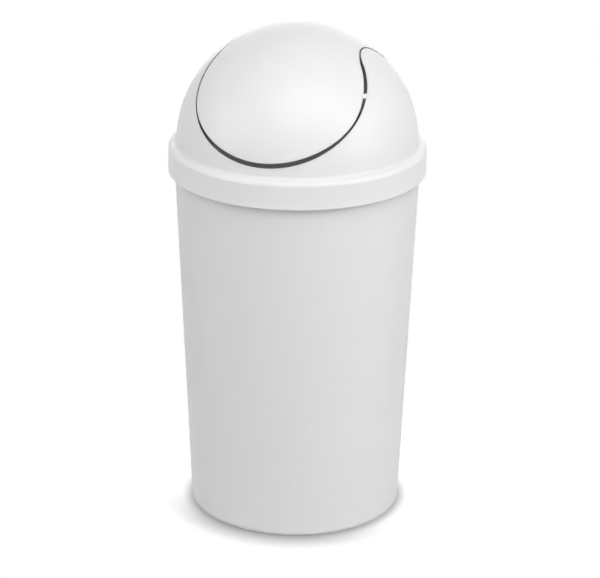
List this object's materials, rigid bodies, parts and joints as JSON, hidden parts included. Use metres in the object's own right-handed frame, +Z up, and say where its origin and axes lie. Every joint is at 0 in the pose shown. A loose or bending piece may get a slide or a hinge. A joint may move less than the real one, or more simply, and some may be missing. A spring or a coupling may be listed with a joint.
{
  "type": "swing-top wastebasket",
  "caption": "Tall round wastebasket with a tapered bin, a lift-off domed lid with a collar, and a saddle-shaped flap that swings both ways in the dome.",
  "frame": {"origin": "centre of the foot ring, on the floor", "axes": "+Z up along the bin's axis; the front of the lid, as the picture shows it, faces -Y; the flap's hinge lies along X"},
  "size_m": [0.2366, 0.2366, 0.4633],
  "materials": {
    "bin_plastic": "fine satin texture, white",
    "lid_plastic": "satin, white",
    "flap_plastic": "satin, white"
  },
  "bodies": {
    "bin": {"bin_body": "bin_plastic"},
    "lid": {"dome_lid": "lid_plastic"},
    "flap": {"swing_flap": "flap_plastic"}
  },
  "joints": [
    {"name": "lid_lift", "type": "slide", "parent": "bin", "child": "lid", "axis": [0, 0, 1], "range_m": [0, 0.12]},
    {"name": "flap_swing", "type": "hinge", "parent": "lid", "child": "flap", "pos_m": [0, 0, 0.43664], "axis": [1, 0, 0], "range_deg": [-60, 60]}
  ]
}
